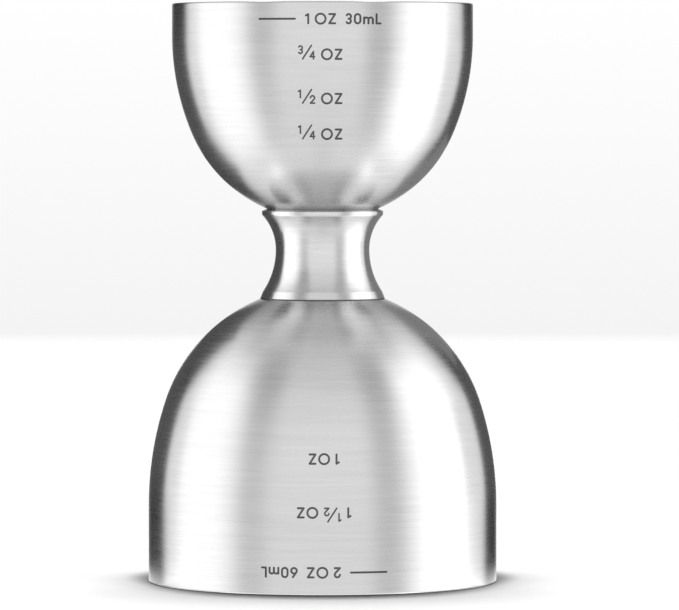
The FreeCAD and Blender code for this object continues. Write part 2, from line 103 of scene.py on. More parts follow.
# Letters one unit high, as width and strokes: ("line", x0, y0, x1, y1) or, with its centre, radius and
# two angles in degrees, ("arc", x, y, radius, first, last)
GLYPHS = {
    "0": (0.60, [("arc", 0.3, 0.7, 0.3, 0, 180), ("line", 0, 0.7, 0, 0.3), ("arc", 0.3, 0.3, 0.3, 180, 360),
                 ("line", 0.6, 0.3, 0.6, 0.7)]),
    "1": (0.25, [("line", 0.25, 0, 0.25, 1), ("line", 0, 0.85, 0.25, 1)]),
    "2": (0.56, [("arc", 0.28, 0.72, 0.28, -40, 180), ("line", 0.494, 0.54, 0, 0), ("line", 0, 0, 0.56, 0)]),
    "3": (0.54, [("arc", 0.27, 0.75, 0.25, -90, 150), ("arc", 0.26, 0.25, 0.25, -150, 90)]),
    "4": (0.60, [("line", 0.45, 0, 0.45, 1), ("line", 0.45, 1, 0, 0.3), ("line", 0, 0.3, 0.6, 0.3)]),
    "6": (0.60, [("arc", 0.3, 0.3, 0.3, 0, 180), ("arc", 0.3, 0.3, 0.3, 180, 360),
                 ("line", 0.04, 0.45, 0.42, 1)]),
    "O": (1.08, [("arc", 0.54, 0.5, 0.54, 0, 180), ("arc", 0.54, 0.5, 0.54, 180, 360)]),
    "Z": (0.64, [("line", 0, 1, 0.64, 1), ("line", 0.64, 1, 0, 0), ("line", 0, 0, 0.64, 0)]),
    "m": (0.96, [("line", 0, 0, 0, 0.64), ("arc", 0.24, 0.4, 0.24, 0, 180), ("line", 0.48, 0.4, 0.48, 0),
                 ("arc", 0.72, 0.4, 0.24, 0, 180), ("line", 0.96, 0.4, 0.96, 0)]),
    "L": (0.42, [("line", 0, 0, 0, 1), ("line", 0, 0, 0.42, 0)]),
    "_": (3.85, [("line", 0, 0.5, 3.85, 0.5)]),
    "/": (1.20, [("line", 0, 0, 1.2, 1.84)]),
}
# Fractions: two smaller digits, one high before the sloping bar and one on the line after it
FRACTIONS = {"¼": ("1", "4"), "½": ("1", "2"), "¾": ("3", "4")}
FRACTION_SCALE = 0.8
FRACTION_WIDTH = 1.75
FRACTION_RAISE = 0.6
FRACTION_BAR = 0.45  # where the sloping bar starts

# ---- looks ----

CUP_TONE, CUP_ROUGHNESS, CUP_ANISOTROPY = 0.62, 0.27, 0.8
COLLAR_TONE, COLLAR_ROUGHNESS, COLLAR_ANISOTROPY = 0.645, 0.24, 0.7
# Brushing, as features per radian and per millimetre, and detail
FINE_LINES = (4.0, 9.0, 3.0)
BANDS = (1.6, 1.4, 2.0)
PATCHES = (1.2, 0.12, 2.0)
# How far each changes the tone or the roughness
FINE_TONE, BAND_TONE = 0.022, 0.02
FINE_ROUGHNESS, PATCH_ROUGHNESS = 0.03, 0.025
BRUSH_DEPTH = 0.0015 * MM
BRUSHED_AROUND = 0.25  # in turns from the tangent
# Colour inside the etched marks, and of the painted shade in the collar's seam
MARK_AND_SEAM_SHADE_COLOUR = (0.13, 0.13, 0.13, 1.0)
MARK_ROUGHNESS = 0.5
ALLOY_COLOURS = ((0.68, 0.61, 0.45, 1), (0.5, 0.42, 0.26, 1))
ALLOY_ROUGHNESS = (0.28, 0.45)
MOTTLE_SCALE, MOTTLE_DETAIL = 400.0, 3.0
NOISE_SPAN = (0.3, 0.7)  # where most of a noise lies
# Numbers of a colour Mix node's sockets, whose names it shares with its number and vector sockets
MIX_FACTOR, MIX_A, MIX_B, MIX_RESULT = 0, 6, 7, 2
WHITE = (1, 1, 1, 1)

# ---- studio: lengths in metres, and in tables angles in degrees ----

TENT_RADIUS = 0.2
TENT_CELLS = (240, 120)
TENT_HEIGHT = OVERALL_HEIGHT / 2 * MM
# Brightness of the tent's ground at some elevations
TENT_ELEVATIONS = (-90, -62, -42, -15, 10, 35, 60, 90)
TENT_GLOW = (1.28, 1.24, 0.97, 1.06, 1.17, 0.97, 0.8, 0.85)
# Azimuths and elevations between which a panel lies, width of its soft edge, brightness. Later ones lie over
# earlier ones.
PANELS = [
    (-55, -36, -30, 60, 14, 0.84), (33, 51, -30, 60, 14, 0.76), (-12, 12, -60, -34, 16, 0.93),
    (-72, -34, 24, 62, 16, 0.52), (34, 66, 28, 62, 16, 0.56),
    (-109, -61, -40, 39, 26, 1.66), (61, 111, -42, 43, 24, 1.85),
    (-200, -148, -46, 10, 18, 0.40), (148, 200, -46, 10, 18, 0.44),
    (-200, -134, 10, 75, 24, 0.36), (138, 200, 10, 75, 24, 0.42),
    (-160, -132, 42, 58, 12, 0.42), (-132, -96, 52, 60, 8, 0.66),
    (142, 162, 44, 52, 8, 0.5), (96, 150, 53, 60, 8, 0.66),
    (-158, -122, -33, 34, 14, 0.02), (128, 158, -30, 32, 14, 0.02),
    (-122, -105, -12, 12, 5, 1.15), (105, 130, -12, 12, 5, 1.1),
    (-165, -124, -12, 12, 5, 0.1), (132, 165, -12, 12, 5, 0.1),
    (-200, -166, -7, 7, 8, 0.85), (166, 200, -7, 7, 8, 0.85),
]
# Bright strips, placed by the azimuths and elevations that steel faces where it mirrors them to the front
STREAKS = [
    (-29, -22, -74, -36, 5, 1.9), (21, 28, -74, -35, 5, 2.3),
    (-23, -15, 44, 76, 5, 2.2), (12, 19, 42, 76, 5, 2.6),
]
STREAK_FADE = 8  # width of the soft ends of a strip

# Light patches on the floor beside the rim, from one azimuth to another
GLINTS = {"left_glint": (-165, -66), "right_glint": (66, 165)}
GLINT = 0.9  # brightness at the rim
GLINT_SPAN = (0.0254, 0.045)  # distances from the axis
GLINT_HEIGHT = 0.01 * MM
GLINT_ROWS, GLINT_COLUMNS = 4, 12

# Dark cards beside the neck, from one azimuth to another, and their brightness
FLAGS = {"left_neck_flag": (-150, -99, 0.09), "right_neck_flag": (112, 150, 0.25)}
FLAG_RADIUS = 0.032
FLAG_SPAN = (0.037, 0.060)  # heights
FLAG_COLUMNS = 8

FLOOR_REACH = 0.84  # half its width
FLOOR_HEIGHT = -0.05 * MM
# The paper's tone in front, and a shade painted into it behind the axis, where the backlight is strongest
PAPER_TONE_AND_PAINTED_BACK_SHADE = (0.9, 0.68)  # in front and behind
PAINTED_BACK_SHADE_SPAN = (-0.018, 0.015)  # the tone changes over these distances behind the axis
PAPER_ROUGHNESS = 0.9
PAPER_SPECULAR = 0.1
# Painted shade around the rim and a fainter, more even painted shade, by the distance from the axis
PAINTED_SHADE_TONE = 0.2
PAINTED_SHADE_START = 0.0243
PAINTED_SHADE_END = 0.034
SIDE_PAINTED_SHADE_END = 0.0293
SIDE_SHIFT = 0.0053  # how far behind the axis the shades are centred at the sides
SIDE_FOCUS = 3  # a higher power narrows what counts as the sides
FAINT_PAINTED_SHADE_TONE = 0.82
FAINT_PAINTED_SHADE_SPAN = (0.02525, 0.033)

# Brightness of the background low down and high up, and where it changes, in sines of the elevation
BACKGROUND_GLOW = (0.9, 1.0)
BACKGROUND_SPAN = (-0.042, 0.018)
HORIZON_SPAN = (-0.0417, -0.0397)  # where it blends into the floor
SKY_LIGHT = 0.25  # what it gives off to everything but the camera
BACKLIGHT = 6.1
BACKLIGHT_SPREAD = math.radians(110)
BACKLIGHT_TILT = math.radians(-50)

LENS = 310
SENSOR_WIDTH = 36
CLIP_START = 0.01
CAMERA_PLACE = (0.00246, -0.848, 0.070)
CAMERA_DIP = math.radians(2.02)


# ---- sections ----

def around(centre, radius, angle):
    """Point on a circle, and the direction from its centre."""
    across, up = math.cos(angle), math.sin(angle)
    return (centre[0] + radius * across, centre[1] + radius * up), (across, up)


class Bell:
    """Section of a cup: a straight band, a shoulder arc that turns by some degrees, and a bowl arc. inset
    moves it into the cup."""

    def __init__(self, rim, band, shoulder, turn):
        self.rim, self.band, self.shoulder, self.turn = rim, band, shoulder, math.radians(turn)
        apart = (shoulder - rim) / math.cos(self.turn)
        self.bowl = shoulder - apart
        self.bowl_height = band + apart * math.sin(self.turn)

    def shoulder_end(self, inset=0.0):
        """Distance along the section from the rim to the end of the shoulder arc."""
        return self.band + (self.shoulder - inset) * self.turn

    def length(self, inset=0.0):
        return self.shoulder_end(inset) + (self.bowl - inset) * (math.pi / 2 - self.turn)

    def at(self, run, inset=0.0):
        """Point and outward direction at a distance along the section from the rim."""
        if run <= self.band:
            return (self.rim - inset, run), (1.0, 0.0)
        if run <= self.shoulder_end(inset):
            radius = self.shoulder - inset
            return around((self.rim - self.shoulder, self.band), radius, (run - self.band) / radius)
        radius = self.bowl - inset
        angle = min(self.turn + (run - self.shoulder_end(inset)) / radius, math.pi / 2)
        return around((0.0, self.bowl_height), radius, angle)

    def run_at(self, height, inset=0.0):
        """Distance along the section from the rim to a height."""
        if height <= self.band:
            return height
        radius = self.shoulder - inset
        angle = math.asin((height - self.band) / radius)
        if angle <= self.turn:
            return self.band + radius * angle
        radius = self.bowl - inset
        angle = math.asin(min((height - self.bowl_height) / radius, 1.0))
        return self.shoulder_end(inset) + radius * (angle - self.turn)


def stretch(place, first, last, spacing, facing=1):
    """Rows of a smooth part of a section, where place(t) gives a point and the direction out of the steel."""
    steps = max(1, math.ceil(abs(last - first) / spacing - NEARLY_NONE))
    rows = []
    for i in range(steps + 1):
        point, (across, up) = place(first + (last - first) * i / steps)
        rows.append((point, (across * facing, up * facing)))
    return rows


def round_stretch(centre, radius, first, last, facing=1, spacing=FINE_SPACING):
    """Rows of an arc, its angles in radians."""
    return stretch(lambda angle: around(centre, radius, angle), first, last, spacing / radius, facing)


def flat_stretch(start, end, spacing=ROW_SPACING):
    """Rows of a straight line with the steel on its left."""
    (x0, y0), (x1, y1) = start, end
    length = math.hypot(x1 - x0, y1 - y0)
    out = ((y1 - y0) / length, -(x1 - x0) / length)
    return stretch(lambda t: ((x0 + (x1 - x0) * t, y0 + (y1 - y0) * t), out), 0, 1, spacing / length)


# ---- turned surfaces ----

class Turned:
    """A surface turned about Z, with exact corner normals."""

    def __init__(self):
        self.places, self.runs = [], []  # of each vertex: where it is, and how far along the section
        self.faces, self.normals, self.cut = [], [], []  # of each face; 1 inside a mark, and on the collar's seam, where a shade is painted

    def vertex(self, place, run):
        self.places.append(place)
        self.runs.append(run)
        return len(self.places) - 1

    def face(self, corners, normals, cut=0.0):
        self.faces.append(corners)
        self.normals.extend(normals)
        self.cut.append(cut)

    def row(self, point, run):
        """Vertices all round at one point of the section, or one vertex where it meets the axis."""
        radius, height = point
        if radius < NEARLY_NONE:
            return [self.vertex((0.0, 0.0, height), run)]
        return [self.vertex(on_turn(radius, height, column), run) for column in range(COLUMNS)]

    def sweep(self, stretches, closed=False, last_blocks=()):
        """Turns the stretches, each starting where the one before ends. In the last one, the cells that the
        blocks hold stay open. Returns the rows of the last stretch."""
        run = 0.0
        first_row = row = self.row(stretches[0][0][0], run)
        for rows in stretches:
            placed = [row]
            is_last = rows is stretches[-1]
            for (before, _), (point, _) in zip(rows, rows[1:]):
                run += math.dist(before, point)
                closes = closed and is_last and len(placed) == len(rows) - 1
                placed.append(first_row if closes else self.row(point, run))
            self.fill(placed, [direction for _, direction in rows], last_blocks if is_last else ())
            row = placed[-1]
        return placed

    def fill(self, placed, directions, blocks):
        """Faces between the rows of one stretch."""
        for i in range(len(placed) - 1):
            for column in range(COLUMNS):
                if any(block.holds(i, column) for block in blocks):
                    continue
                corners, normals = [], []
                for row, where in ((i, column), (i, column + 1), (i + 1, column + 1), (i + 1, column)):
                    vertex = placed[row][where % len(placed[row])]
                    if vertex not in corners:
                        corners.append(vertex)
                        normals.append(spun(directions[row], where))
                self.face(corners, normals)

    def to_object(self, name, lift=None):
        """The piece, in metres. With lift, it is turned upside down about Y and raised by that height."""
        places, normals = np.array(self.places), np.array(self.normals)
        if lift is not None:
            places = places * (-1, 1, -1) + (0, 0, lift)
            normals = normals * (-1, 1, -1)
        mesh = bpy.data.meshes.new(name)
        mesh.from_pydata((places * MM).tolist(), [], self.faces)
        mesh.polygons.foreach_set("use_smooth", [True] * len(self.faces))
        mesh.attributes.new("run", "FLOAT", "POINT").data.foreach_set("value", self.runs)
        mesh.attributes.new("cut", "FLOAT", "FACE").data.foreach_set("value", self.cut)
        mesh.normals_split_custom_set(normals.tolist())
        made = bpy.data.objects.new(name, mesh)
        bpy.context.scene.collection.objects.link(made)
        return made


def on_turn(radius, height, column):
    angle = FULL_TURN * column / COLUMNS
    return (radius * math.sin(angle), -radius * math.cos(angle), height)


def spun(direction, column):
    """A section's direction at a column."""
    across, up = direction
    return on_turn(across, up, column)


# ---- engraved marks ----

def centreline(stroke, x, y, scale):
    """Points along a stroke of a letter whose lower left corner is at x, y."""
    kind, *numbers = stroke
    if kind == "line":
        x0, y0, x1, y1 = (n * scale for n in numbers)
        steps = max(1, math.ceil(math.hypot(x1 - x0, y1 - y0) / LINE_STEP))
        return [(x + x0 + (x1 - x0) * i / steps, y + y0 + (y1 - y0) * i / steps) for i in range(steps + 1)]
    cx, cy, radius, first, last = numbers
    steps = math.ceil((last - first) / ARC_STEP)
    angles = [math.radians(first + (last - first) * i / steps) for i in range(steps + 1)]
    found = [(cx + radius * math.cos(angle), cy + radius * math.sin(angle)) for angle in angles]
    return [(x + across * scale, y + up * scale) for across, up in found]


def letter(name, x, y, scale=1.0):
    """Centreline and stroke width of each stroke of a letter, placed and sized in shares of the capitals'
    height."""
    x, y, scale = x * CAPITAL, y * CAPITAL, scale * CAPITAL
    return [(centreline(stroke, x, y, scale), STROKE * scale) for stroke in GLYPHS[name][1]]


def row_strokes(text):
    """Strokes of a row of marks from its lower left corner on, and the row's width."""
    strokes, x = [], 0.0
    for sign in text:
        if sign == " ":
            x += SPACE
        elif sign in FRACTIONS:
            upper, lower = FRACTIONS[sign]
            strokes += letter(upper, x, FRACTION_RAISE, FRACTION_SCALE)
            strokes += letter("/", x + FRACTION_BAR, 0, FRACTION_SCALE)
            lower_x = x + FRACTION_WIDTH - GLYPHS[lower][0] * FRACTION_SCALE
            strokes += letter(lower, lower_x, 0, FRACTION_SCALE)
            x += FRACTION_WIDTH + LETTER_GAP
        else:
            strokes += letter(sign, x, 0)
            x += GLYPHS[sign][0] + LETTER_GAP
    return strokes, (x - LETTER_GAP) * CAPITAL


def ribbon(points, half):
    """Outline of a stroke with round ends along a centreline, counter-clockwise."""
    def side(sequence):
        found = []
        for i, (x, y) in enumerate(sequence):
            (ax, ay), (bx, by) = sequence[max(i - 1, 0)], sequence[min(i + 1, len(sequence) - 1)]
            length = math.hypot(bx - ax, by - ay)
            found.append((x + (by - ay) / length * half, y - (bx - ax) / length * half))
        return found

    def cap(sequence):
        (ax, ay), (x, y) = sequence[-2:]
        start = math.atan2(y - ay, x - ax) - math.pi / 2
        turns = [start + math.pi * i / CAP_STEPS for i in range(1, CAP_STEPS)]
        return [(x + half * math.cos(turn), y + half * math.sin(turn)) for turn in turns]

    back = points[::-1]
    return side(points) + cap(points) + side(back) + cap(back)


class MarkBlock:
    """The patch of a cup's outside that holds one row of marks, and the marks' outlines on it."""

    MARGIN = 0.5  # plain steel kept above and below the marks

    def __init__(self, bell, runs, text, depth):
        strokes, row_width = row_strokes(text)
        self.bell, self.runs = bell, runs
        self.outlines = []
        for points, stroke_width in strokes:
            # in a cup's own frame the signs are upside down
            turned = [(row_width / 2 + MARK_SHIFT - x, depth + CAPITAL / 2 - y) for x, y in points]
            self.outlines.append([self.unrolled(x, z) for x, z in ribbon(turned, stroke_width / 2)])
        everything = [point for outline in self.outlines for point in outline]
        low, high = min(run for _, run in everything), max(run for _, run in everything)
        self.first = max(i for i, run in enumerate(runs) if run < low - self.MARGIN)
        self.last = min(i for i, run in enumerate(runs) if run > high + self.MARGIN)
        reach = max(abs(angle) for angle, _ in everything)
        self.half = math.ceil(reach / FULL_TURN * COLUMNS) + 1
        self.scale = bell.at((low + high) / 2)[0][0]  # radians to millimetres

    def unrolled(self, x, z):
        """Angle and distance along the section of a point seen from the front."""
        run = self.bell.run_at(z)
        return math.asin(x / self.bell.at(run)[0][0]), run

    def holds(self, row, column):
        beside = (column + COLUMNS // 2) % COLUMNS - COLUMNS // 2
        return self.first <= row < self.last and -self.half <= beside < self.half

    def fill(self, turned, rows):
        """Triangles over the patch, with those inside the outlines sunk to the marks' floor and walled in."""
        points, grid = [], []
        for row in range(self.first, self.last + 1):
            for column in range(-self.half, self.half + 1):
                points.append(Vector((FULL_TURN * column / COLUMNS * self.scale, self.runs[row])))
                grid.append(rows[row][column % COLUMNS])
        outlines = []
        for outline in self.outlines:
            outlines.append(list(range(len(points), len(points) + len(outline))))
            points += [Vector((angle * self.scale, run)) for angle, run in outline]
        places, _, faces, sources, _, insides = delaunay_2d_cdt(points, [], outlines, 0, WELD, True)

        upper, lower = {}, {}

        def surface(i):
            """Vertex and normal on the cup's outside."""
            angle, run = places[i].x / self.scale, places[i].y
            (radius, height), (across, up) = self.bell.at(run)
            if i not in upper:
                shared = [s for s in sources[i] if s < len(grid)]
                place = (radius * math.sin(angle), -radius * math.cos(angle), height)
                upper[i] = grid[shared[0]] if shared else turned.vertex(place, run)
            return upper[i], (across * math.sin(angle), -across * math.cos(angle), up)

        def floor(i):
            """Vertex and normal straight behind it, on the marks' floor."""
            (radius, height), _ = self.bell.at(places[i].y)
            x = radius * math.sin(places[i].x / self.scale)
            (radius, _), (across, up) = self.bell.at(self.bell.run_at(height, MARK_DEPTH), MARK_DEPTH)
            y = -math.sqrt(radius**2 - x**2)
            if i not in lower:
                lower[i] = turned.vertex((x, y, height), places[i].y)
            return lower[i], (across * x / radius, across * y / radius, up)

        outside = set()
        for corners, inside in zip(faces, insides):
            if not inside:
                outside.update(zip(corners, corners[1:] + corners[:1]))
        for corners, inside in zip(faces, insides):
            found = [floor(i) if inside else surface(i) for i in corners]
            vertices, normals = zip(*found)
            turned.face(list(vertices), normals, 1.0 if inside else 0.0)
            if not inside:
                continue
            for a, b in zip(corners, corners[1:] + corners[:1]):
                if (b, a) in outside:
                    wall = [surface(a)[0], surface(b)[0], floor(b)[0], floor(a)[0]]
                    one, two, three = (np.array(turned.places[i]) for i in wall[:3])
                    normal = np.cross(two - one, three - two)
                    turned.face(wall, [tuple(normal / np.linalg.norm(normal))] * 4, 1.0)


# ---- the steel pieces ----

BELLS = {
    "large": Bell(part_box("lower_cup")[1].x / MM, band=11.0, shoulder=49.0, turn=18.1),
    "small": Bell(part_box("upper_cup")[1].x / MM, band=4.7, shoulder=36.5, turn=22.5),
}


def inside_stretches(bell, levels):
    """The cavity from its bottom to the rim's rounding, with a hairline groove at each level."""
    runs = sorted((bell.run_at(depth, WALL) for depth in levels), reverse=True)
    found, start = [], bell.length(WALL)
    for run in runs:
        centre, (across, up) = bell.at(run, WALL)
        out = math.atan2(up, across)
        found.append(stretch(lambda t: bell.at(t, WALL), start, run + LINE_RADIUS, ROW_SPACING, -1))
        found.append(round_stretch(centre, LINE_RADIUS, out + math.pi / 2, out - math.pi / 2, -1))
        start = run - LINE_RADIUS
    found.append(stretch(lambda t: bell.at(t, WALL), start, RIM_ROUND, ROW_SPACING, -1))
    return found


def cup(name, size, lift=None):
    """One measuring cup, from the bottom of its cavity over the rim to the top of its outside."""
    bell = BELLS[size]
    inner = bell.rim - WALL
    stretches = inside_stretches(bell, LEVELS[size])
    stretches.append(round_stretch((inner + RIM_ROUND, RIM_ROUND), RIM_ROUND, math.pi, 1.5 * math.pi))
    stretches.append(flat_stretch((inner + RIM_ROUND, 0), (bell.rim - RIM_ROUND, 0)))
    stretches.append(round_stretch((bell.rim - RIM_ROUND, RIM_ROUND), RIM_ROUND, -math.pi / 2, 0))
    outside = stretch(bell.at, RIM_ROUND, bell.length(), ROW_SPACING)
    stretches.append(outside)
    runs = [RIM_ROUND + (bell.length() - RIM_ROUND) * i / (len(outside) - 1) for i in range(len(outside))]
    blocks = [MarkBlock(bell, runs, *mark) for mark in MARKS[size]]
    turned = Turned()
    rows = turned.sweep(stretches, last_blocks=blocks)
    for block in blocks:
        block.fill(turned, rows)
    return turned.to_object(name, lift)


def crossing(first, second, choose):
    """Where two circles of a section cross, each a centre and a radius. choose is min for the crossing nearer
    to the axis, max for the other."""
    (ax, az), a = first
    (bx, bz), b = second
    apart = math.dist((ax, az), (bx, bz))
    along = (a**2 - b**2 + apart**2) / (2 * apart)
    beside = math.sqrt(a**2 - along**2)
    ux, uz = (bx - ax) / apart, (bz - az) / apart
    return choose((ax + ux * along - uz * way, az + uz * along + ux * way) for way in (beside, -beside))


def meeting(start, heading, circle):
    """Where a straight line from a point, at a heading in radians, first meets a circle."""
    (x, z), radius = circle
    across, up = start[0] - x, start[1] - z
    along = across * math.cos(heading) + up * math.sin(heading)
    outside = across**2 + up**2 - radius**2
    run = -along - math.copysign(math.sqrt(along**2 - outside), outside)
    return start[0] + run * math.cos(heading), start[1] + run * math.sin(heading)


def bearing(centre, point):
    """Angle of a point as seen from a centre, in radians."""
    return math.atan2(point[1] - centre[1], point[0] - centre[0])


def corner(point, before, after, radius):
    """Rounding of a corner at which the section turns left from one heading to another, in radians, and how
    much it takes off both sides."""
    trim = radius * math.tan((after - before) / 2)
    x = point[0] - trim * math.cos(before) - radius * math.sin(before)
    z = point[1] - trim * math.sin(before) + radius * math.cos(before)
    return round_stretch((x, z), radius, before - math.pi / 2, after - math.pi / 2), trim


def neck_collar():
    """The collar, from its seat on the large cup up the outside, over its seat on the small cup and down."""
    large, small = BELLS["large"], BELLS["small"]
    large_seat = (0.0, large.bowl_height), large.bowl
    small_seat = (0.0, OVERALL_HEIGHT - small.bowl_height), small.bowl
    foot_centre = (WAIST_RADIUS + FOOT_SWEEP, WAIST_HEIGHT)
    top_centre = (WAIST_RADIUS + TOP_SWEEP, WAIST_HEIGHT)
    inner_foot = crossing((foot_centre, FOOT_SWEEP + COLLAR_WALL), large_seat, min)
    inner_top = crossing((top_centre, TOP_SWEEP + COLLAR_WALL), small_seat, min)

    # foot
    foot_bend_centre, _ = around(foot_centre, FOOT_SWEEP + FOOT_BEND, math.pi + FOOT_TURN)
    flange_high, _ = around(foot_bend_centre, FOOT_BEND, FOOT_FLANGE)
    flange_low = meeting(flange_high, FOOT_FLANGE - math.pi / 2, large_seat)
    _, trim = corner(flange_low, 0, math.pi / 2 + FOOT_FLANGE, FOOT_ROUND)
    foot_round_centre = (flange_low[0] - trim, flange_low[1] + FOOT_ROUND)
    foot_tip = crossing((foot_round_centre, FOOT_ROUND), large_seat, max)
    flange_start, _ = around(foot_round_centre, FOOT_ROUND, FOOT_FLANGE)

    # top lip
    top_bend_centre, _ = around(top_centre, TOP_SWEEP + TOP_BEND, math.pi - TOP_TURN)
    lip_low = (top_bend_centre[0] + TOP_BEND, top_bend_centre[1])
    lip_high = (lip_low[0], lip_low[1] + TOP_LIP_HEIGHT)
    lip_round, trim = corner(lip_high, math.pi / 2, math.pi - TOP_LIP_SLOPE, TOP_LIP_ROUND)
    slope_start = lip_round[-1][0]
    slope_end = meeting(slope_start, math.pi - TOP_LIP_SLOPE, small_seat)

    stretches = [
        round_stretch(*large_seat, bearing(large_seat[0], inner_foot), bearing(large_seat[0], foot_tip), -1),
        round_stretch(foot_round_centre, FOOT_ROUND, bearing(foot_round_centre, foot_tip), FOOT_FLANGE),
        flat_stretch(flange_start, flange_high),
        round_stretch(foot_bend_centre, FOOT_BEND, FOOT_FLANGE, FOOT_TURN, 1, BEND_SPACING),
        round_stretch(foot_centre, FOOT_SWEEP, math.pi + FOOT_TURN, math.pi, -1, COLLAR_SPACING),
        round_stretch(top_centre, TOP_SWEEP, math.pi, math.pi - TOP_TURN, -1, COLLAR_SPACING),
        round_stretch(top_bend_centre, TOP_BEND, -TOP_TURN, 0, 1, BEND_SPACING),
        flat_stretch(lip_low, (lip_high[0], lip_high[1] - trim)),
        lip_round,
        flat_stretch(slope_start, slope_end),
        round_stretch(*small_seat, bearing(small_seat[0], slope_end), bearing(small_seat[0], inner_top), -1),
        round_stretch(top_centre, TOP_SWEEP + COLLAR_WALL, bearing(top_centre, inner_top), math.pi, 1,
                      COLLAR_SPACING),
        round_stretch(foot_centre, FOOT_SWEEP + COLLAR_WALL, math.pi,
                      bearing(foot_centre, inner_foot) % FULL_TURN, 1, COLLAR_SPACING),
    ]
    turned = Turned()
    turned.sweep(stretches, closed=True)
    # a dark, dull line where the foot meets the large cup, up to the end of the foot's rounding: painted
    # shade of that crease, and the dirt that gathers in a seam
    seam_top = flange_start[1] + NEARLY_NONE
    for i, corners in enumerate(turned.faces):
        turned.cut[i] = float(max(turned.places[vertex][2] for vertex in corners) < seam_top)
    return turned.to_object("collar")


# ---- materials ----

def wired(tree, kind, inputs=None, **settings):
    """A new shader node. inputs holds a value or another node's output for each socket, by name or number."""
    made = tree.nodes.new("ShaderNode" + kind)
    for name, value in settings.items():
        setattr(made, name, value)
    for name, value in (inputs or {}).items():
        if isinstance(value, bpy.types.NodeSocket):
            tree.links.new(value, made.inputs[name])
        else:
            made.inputs[name].default_value = value
    return made


def calculated(tree, operation, *values):
    """What an operation of the Math node makes of the values."""
    return wired(tree, "Math", dict(enumerate(values)), operation=operation).outputs[0]


def remapped(tree, value, span, results, **settings):
    """The value with the two ends of the span turned into the two results."""
    ends = {"From Min": span[0], "From Max": span[1], "To Min": results[0], "To Max": results[1]}
    return wired(tree, "MapRange", {"Value": value, **ends}, **settings).outputs["Result"]


def grey(tree, tone):
    return wired(tree, "CombineColor", {"Red": tone, "Green": tone, "Blue": tone}).outputs[0]


def blank_material(name):
    made = bpy.data.materials.new(name)
    made.use_nodes = True
    made.node_tree.nodes.clear()
    return made, made.node_tree


def brushed_steel(name, steel_tone, roughness, anisotropy):
    """Steel brushed around the axis: fine lines, wider bands and soft patches. Where the face attribute is 1
    it is dark and dull: inside the marks, and on the collar's seam, where a shade is painted.
    """
    material, tree = blank_material(name)
    run = wired(tree, "Attribute", attribute_name="run").outputs["Fac"]
    cut = wired(tree, "Attribute", attribute_name="cut").outputs["Fac"]
    place = wired(tree, "TexCoord").outputs["Object"]
    flat = wired(tree, "VectorMath", {0: place, 1: (1, 1, 0)}, operation="MULTIPLY").outputs[0]
    way = wired(tree, "VectorMath", {0: flat}, operation="NORMALIZE").outputs[0]

    def lines(around_axis, per_mm, detail):
        """Noise stretched around the axis: its features per radian and per millimetre of the section."""
        turn = wired(tree, "VectorMath", {0: way, "Scale": around_axis}, operation="SCALE").outputs[0]
        rise = calculated(tree, "MULTIPLY", run, per_mm)
        up = wired(tree, "CombineXYZ", {"Z": rise}).outputs[0]
        where = wired(tree, "VectorMath", {0: turn, 1: up}, operation="ADD").outputs[0]
        return wired(tree, "TexNoise", {"Vector": where, "Scale": 1.0, "Detail": detail}).outputs["Fac"]

    def varied(noise, reach):
        """The noise, spread over a reach to both sides of nothing."""
        return remapped(tree, noise, NOISE_SPAN, (-reach, reach))

    fine = lines(*FINE_LINES)
    bands = lines(*BANDS)
    patches = lines(*PATCHES)

    tone = calculated(tree, "ADD", varied(fine, FINE_TONE), varied(bands, BAND_TONE))
    steel = grey(tree, calculated(tree, "ADD", tone, steel_tone))
    # dark inside the marks, and painted shade on the collar's seam
    colour = wired(tree, "Mix", {MIX_FACTOR: cut, MIX_A: steel, MIX_B: MARK_AND_SEAM_SHADE_COLOUR}, data_type="RGBA")

    rough = calculated(tree, "ADD", varied(fine, FINE_ROUGHNESS), varied(patches, PATCH_ROUGHNESS))
    rough = calculated(tree, "ADD", rough, roughness)
    rough = wired(tree, "Mix", {"Factor": cut, "A": rough, "B": MARK_ROUGHNESS}).outputs["Result"]

    relief = wired(tree, "Bump", {"Height": fine, "Distance": BRUSH_DEPTH, "Strength": 1.0}).outputs["Normal"]
    tangent = wired(tree, "Tangent", direction_type="RADIAL", axis="Z").outputs[0]
    shader = wired(tree, "BsdfPrincipled", {
        "Base Color": colour.outputs[MIX_RESULT], "Metallic": 1.0, "Roughness": rough, "Normal": relief,
        "Anisotropic": anisotropy, "Anisotropic Rotation": BRUSHED_AROUND, "Tangent": tangent,
    })
    wired(tree, "OutputMaterial", {"Surface": shader.outputs[0]})
    return material


def brazing_alloy(name):
    """Silver brazing filler, with the mottled skin of metal that has flowed and set."""
    material, tree = blank_material(name)
    place = wired(tree, "TexCoord").outputs["Object"]
    noise = wired(tree, "TexNoise", {"Vector": place, "Scale": MOTTLE_SCALE, "Detail": MOTTLE_DETAIL})
    mottle = noise.outputs["Fac"]
    pale, deep = ALLOY_COLOURS
    colour = wired(tree, "Mix", {MIX_FACTOR: mottle, MIX_A: pale, MIX_B: deep}, data_type="RGBA")
    rough = remapped(tree, mottle, NOISE_SPAN, ALLOY_ROUGHNESS)
    shader = wired(tree, "BsdfPrincipled", {"Base Color": colour.outputs[MIX_RESULT], "Metallic": 1.0,
                                            "Roughness": rough})
    wired(tree, "OutputMaterial", {"Surface": shader.outputs[0]})
    return material


def finish_piece(piece, material, slot, *nodes):
    """Gives a piece its material and its place in the frame."""
    piece.data.materials.clear()
    piece.data.materials.append(material)
    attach(piece, "root")
    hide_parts(*nodes)


